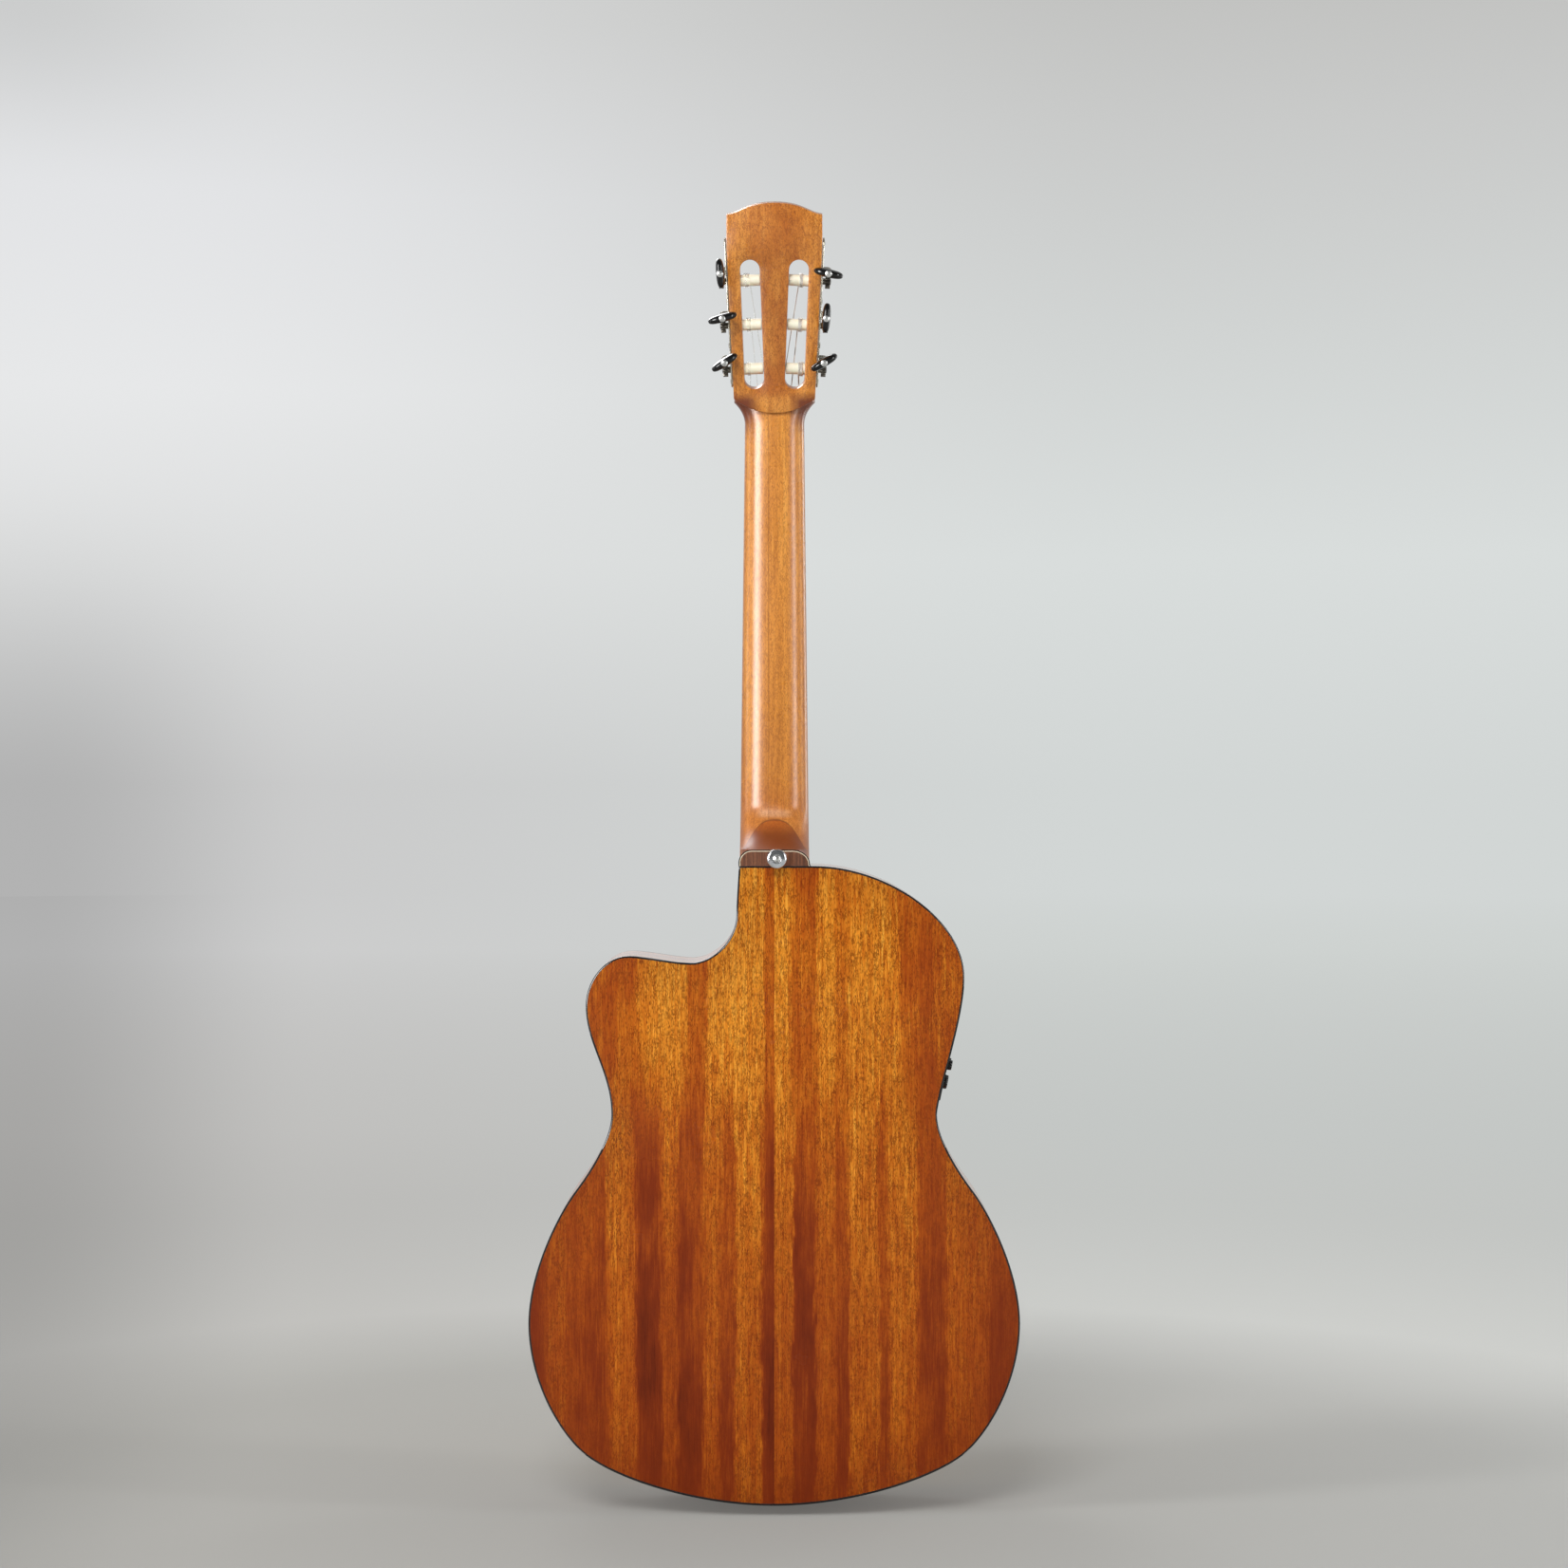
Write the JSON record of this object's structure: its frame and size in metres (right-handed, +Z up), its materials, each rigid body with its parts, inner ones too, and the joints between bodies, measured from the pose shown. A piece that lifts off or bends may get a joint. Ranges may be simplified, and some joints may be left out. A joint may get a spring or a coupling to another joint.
{
  "type": "acoustic-electric classical guitar",
  "caption": "Nylon-string guitar with a slim cutaway body, slotted head with geared tuners, fretted neck, bridge with under-saddle pickup, side preamp and endpin socket.",
  "frame": {"origin": "lowest point of the rim on the centre line, half way through the body's depth at the tail, where a stand carries it", "axes": "+Z up the neck, -Y out of the soundboard, +Y out of the back, +X towards the treble side with the cutaway"},
  "size_m": [0.3772, 0.1076, 1.0172],
  "materials": {
    "ribbon_mahogany": "satin lacquer over ribbon-figured mahogany",
    "neck_mahogany": "satin lacquer",
    "spruce": "satin lacquer",
    "brace_spruce": "bare",
    "lining_wood": "bare",
    "dark_wood": "oiled",
    "rosette_mosaic": "lacquered inlay",
    "black_binding": "polished",
    "bone": "satin",
    "plated_metal": "plated",
    "chrome": "polished",
    "steel": "satin",
    "black_plastic": "satin",
    "cream_plastic": "satin",
    "nylon": "clear nylon",
    "wound_string": "silver-plated winding",
    "board_green": "solder mask"
  },
  "bodies": {
    "guitar": {"soundboard": "spruce", "back_plate": "ribbon_mahogany", "side_bass": "ribbon_mahogany", "side_treble": "ribbon_mahogany", "top_binding": "black_binding", "back_binding": "black_binding", "top_lining": "lining_wood", "back_lining": "lining_wood", "neck_block": "brace_spruce", "tail_block": "brace_spruce", "top_braces": "brace_spruce", "back_braces": "brace_spruce", "rosette": "rosette_mosaic", "bridge": "dark_wood", "saddle": "bone", "saddle_pickup": "steel", "neck": "neck_mahogany", "fretboard": "dark_wood", "nut": "bone", "head_veneer": "dark_wood", "truss_rod": "steel", "heel_cap": "dark_wood", "strap_button": "chrome", "string_1": "nylon", "string_2": "nylon", "string_3": "nylon", "string_4": "wound_string", "string_5": "wound_string", "string_6": "wound_string", "tuner_plate_bass": "plated_metal", "tuner_plate_treble": "plated_metal", "preamp_panel": "black_plastic", "preamp_housing": "black_plastic", "circuit_board": "board_green", "endpin_jack": "chrome"},
    "key_bass_1": {"key_bass_1_worm": "steel", "key_bass_1_button": "black_plastic"},
    "key_bass_2": {"key_bass_2_worm": "steel", "key_bass_2_button": "black_plastic"},
    "key_bass_3": {"key_bass_3_worm": "steel", "key_bass_3_button": "black_plastic"},
    "key_treble_1": {"key_treble_1_worm": "steel", "key_treble_1_button": "black_plastic"},
    "key_treble_2": {"key_treble_2_worm": "steel", "key_treble_2_button": "black_plastic"},
    "key_treble_3": {"key_treble_3_worm": "steel", "key_treble_3_button": "black_plastic"},
    "post_bass_1": {"roller_bass_1": "cream_plastic"},
    "post_bass_2": {"roller_bass_2": "cream_plastic"},
    "post_bass_3": {"roller_bass_3": "cream_plastic"},
    "post_treble_1": {"roller_treble_1": "cream_plastic"},
    "post_treble_2": {"roller_treble_2": "cream_plastic"},
    "post_treble_3": {"roller_treble_3": "cream_plastic"},
    "volume_control": {"volume_knob": "black_plastic"},
    "bass_control": {"bass_knob": "black_plastic"},
    "treble_control": {"treble_knob": "black_plastic"},
    "tuner_key": {"tuner_button": "black_plastic"},
    "cell_tray": {"battery_tray": "black_plastic", "coin_cell": "steel"},
    "rod_nut": {"truss_nut": "steel"}
  },
  "joints": [
    {"name": "key_bass_1_turn", "type": "hinge", "parent": "guitar", "child": "key_bass_1", "pos_m": [-0.03889, -0.02738, 0.88682], "axis": [0, 0.9744, -0.225], "continuous": true},
    {"name": "key_bass_2_turn", "type": "hinge", "parent": "guitar", "child": "key_bass_2", "pos_m": [-0.04048, -0.01963, 0.9204], "axis": [0, 0.9744, -0.225], "continuous": true},
    {"name": "key_bass_3_turn", "type": "hinge", "parent": "guitar", "child": "key_bass_3", "pos_m": [-0.04208, -0.01188, 0.95398], "axis": [0, 0.9744, -0.225], "continuous": true},
    {"name": "key_treble_1_turn", "type": "hinge", "parent": "guitar", "child": "key_treble_1", "pos_m": [0.03889, -0.02738, 0.88682], "axis": [0, 0.9744, -0.225], "continuous": true},
    {"name": "key_treble_2_turn", "type": "hinge", "parent": "guitar", "child": "key_treble_2", "pos_m": [0.04048, -0.01963, 0.9204], "axis": [0, 0.9744, -0.225], "continuous": true},
    {"name": "key_treble_3_turn", "type": "hinge", "parent": "guitar", "child": "key_treble_3", "pos_m": [0.04208, -0.01188, 0.95398], "axis": [0, 0.9744, -0.225], "continuous": true},
    {"name": "post_bass_1_turn", "type": "hinge", "parent": "guitar", "child": "post_bass_1", "pos_m": [-0.03303, -0.02912, 0.87928], "axis": [0.9989, 0.0104, 0.045], "continuous": true},
    {"name": "post_bass_2_turn", "type": "hinge", "parent": "guitar", "child": "post_bass_2", "pos_m": [-0.03462, -0.02137, 0.91286], "axis": [0.9989, 0.0104, 0.045], "continuous": true},
    {"name": "post_bass_3_turn", "type": "hinge", "parent": "guitar", "child": "post_bass_3", "pos_m": [-0.03621, -0.01362, 0.94644], "axis": [0.9989, 0.0104, 0.045], "continuous": true},
    {"name": "post_treble_1_turn", "type": "hinge", "parent": "guitar", "child": "post_treble_1", "pos_m": [0.03303, -0.02912, 0.87928], "axis": [0.9989, -0.0104, -0.045], "continuous": true},
    {"name": "post_treble_2_turn", "type": "hinge", "parent": "guitar", "child": "post_treble_2", "pos_m": [0.03462, -0.02137, 0.91286], "axis": [0.9989, -0.0104, -0.045], "continuous": true},
    {"name": "post_treble_3_turn", "type": "hinge", "parent": "guitar", "child": "post_treble_3", "pos_m": [0.03621, -0.01362, 0.94644], "axis": [0.9989, -0.0104, -0.045], "continuous": true},
    {"name": "volume_turn", "type": "hinge", "parent": "guitar", "child": "volume_control", "pos_m": [-0.12952, -0.0025, 0.32097], "axis": [-0.979, 0, -0.204], "range_deg": [-140, 140]},
    {"name": "bass_turn", "type": "hinge", "parent": "guitar", "child": "bass_control", "pos_m": [-0.13243, 0.008, 0.33497], "axis": [-0.979, 0, -0.204], "range_deg": [-140, 140]},
    {"name": "treble_turn", "type": "hinge", "parent": "guitar", "child": "treble_control", "pos_m": [-0.13243, -0.013, 0.33497], "axis": [-0.979, 0, -0.204], "range_deg": [-140, 140]},
    {"name": "tuner_press", "type": "slide", "parent": "guitar", "child": "tuner_key", "axis": [0.979, 0, 0.204], "range_m": [0, 0.0008], "stiffness_N_per_m": 300},
    {"name": "tray_slide", "type": "slide", "parent": "guitar", "child": "cell_tray", "axis": [-0.979, 0, -0.204], "range_m": [0, 0.021]},
    {"name": "rod_nut_turn", "type": "hinge", "parent": "guitar", "child": "rod_nut", "pos_m": [0, -0.0361, 0.435], "axis": [0, 0, 1], "range_deg": [-180, 180]}
  ],
  "couplings": [
    {"joint": "post_bass_1_turn", "follows": "key_bass_1_turn", "ratio": 0.071429},
    {"joint": "post_bass_2_turn", "follows": "key_bass_2_turn", "ratio": 0.071429},
    {"joint": "post_bass_3_turn", "follows": "key_bass_3_turn", "ratio": 0.071429},
    {"joint": "post_treble_1_turn", "follows": "key_treble_1_turn", "ratio": 0.071429},
    {"joint": "post_treble_2_turn", "follows": "key_treble_2_turn", "ratio": 0.071429},
    {"joint": "post_treble_3_turn", "follows": "key_treble_3_turn", "ratio": 0.071429}
  ]
}
